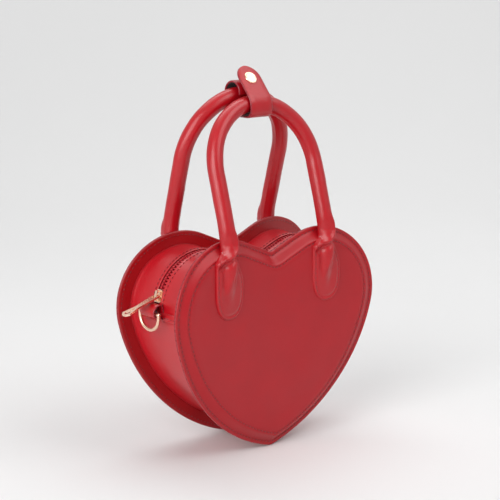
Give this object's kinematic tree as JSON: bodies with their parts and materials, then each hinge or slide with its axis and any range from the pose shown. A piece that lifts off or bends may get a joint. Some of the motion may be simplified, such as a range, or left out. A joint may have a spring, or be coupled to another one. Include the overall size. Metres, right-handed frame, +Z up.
{
  "type": "heart shaped handbag",
  "caption": "Heart shaped leather handbag with padded, flanged panels, a zip over the lobes, rolled handles joined by a snap keeper, and side rings.",
  "frame": {"origin": "lowest point of the heart, midway between the two panels", "axes": "+X to the bag's right as seen from the front, +Y to its back, +Z up towards the handles"},
  "size_m": [0.2238, 0.082, 0.2955],
  "materials": {
    "panel_leather": "smooth red leather, satin",
    "gusset_leather": "smooth red leather in the bag's depth",
    "inner_leather": "dark red backing leather",
    "zip_tape": "woven red tape",
    "zip_nylon": "red moulded nylon teeth",
    "rose_metal": "polished light rose gold plating",
    "board": "pressed fibre board",
    "filler": "twisted cotton core",
    "lining": "fine woven lining",
    "padding": "soft cream foam"
  },
  "bodies": {
    "bag": {"front_panel": "panel_leather", "front_board": "board", "front_facing": "inner_leather", "back_panel": "panel_leather", "back_board": "board", "back_facing": "inner_leather", "lower_gusset": "gusset_leather", "zip_strip_front": "gusset_leather", "zip_strip_back": "gusset_leather", "zip_tape_front": "zip_tape", "zip_tape_back": "zip_tape", "zip_teeth_front": "zip_nylon", "zip_teeth_back": "zip_nylon", "zip_stops": "rose_metal", "left_ring_tab": "panel_leather", "right_ring_tab": "panel_leather", "front_left_handle_tab": "panel_leather", "front_right_handle_tab": "panel_leather", "back_left_handle_tab": "panel_leather", "back_right_handle_tab": "panel_leather", "front_lining": "lining", "back_lining": "lining", "gusset_lining": "lining", "zip_lining_front": "lining", "zip_lining_back": "lining", "front_padding": "padding", "back_padding": "padding"},
    "slider": {"zip_slider": "rose_metal"},
    "pull": {"zip_pull": "rose_metal"},
    "left_ring": {"left_d_ring": "rose_metal"},
    "right_ring": {"right_d_ring": "rose_metal"},
    "front_handle": {"front_handle_cover": "panel_leather", "front_handle_core": "filler"},
    "back_handle": {"back_handle_cover": "panel_leather", "back_handle_core": "filler"},
    "keeper": {"keeper_strap": "panel_leather", "snap_stud": "rose_metal", "snap_post": "rose_metal"},
    "flap": {"keeper_flap": "panel_leather", "snap_cap": "rose_metal", "snap_socket": "rose_metal"}
  },
  "joints": [
    {"name": "slider_travel", "type": "hinge", "parent": "bag", "child": "slider", "pos_m": [-0.047, 0, 0.115], "axis": [0, 1, 0], "range_deg": [0, 85]},
    {"name": "pull_swing", "type": "hinge", "parent": "slider", "child": "pull", "pos_m": [-0.09021, 0, 0.12988], "axis": [0, 1, 0], "range_deg": [0, 115]},
    {"name": "left_ring_swing", "type": "hinge", "parent": "bag", "child": "left_ring", "pos_m": [-0.098, 0, 0.118], "axis": [0, 1, 0], "range_deg": [0, 80]},
    {"name": "right_ring_swing", "type": "hinge", "parent": "bag", "child": "right_ring", "pos_m": [0.098, 0, 0.118], "axis": [0, -1, 0], "range_deg": [0, 80]},
    {"name": "front_handle_sway", "type": "hinge", "parent": "bag", "child": "front_handle", "pos_m": [0, -0.03464, 0.174], "axis": [1, 0, 0], "range_deg": [-1.5, 4]},
    {"name": "back_handle_sway", "type": "hinge", "parent": "bag", "child": "back_handle", "pos_m": [0, 0.03464, 0.174], "axis": [1, 0, 0], "range_deg": [-1.5, 4]},
    {"name": "keeper_slide", "type": "slide", "parent": "front_handle", "child": "keeper", "axis": [1, 0, 0], "range_m": [-0.003, 0.003]},
    {"name": "keeper_unsnap", "type": "hinge", "parent": "keeper", "child": "flap", "pos_m": [0, -0.01585, 0.26493], "axis": [1, 0, 0], "range_deg": [0, 110]}
  ],
  "couplings": [
    {"joint": "back_handle_sway", "follows": "front_handle_sway", "ratio": 1}
  ]
}
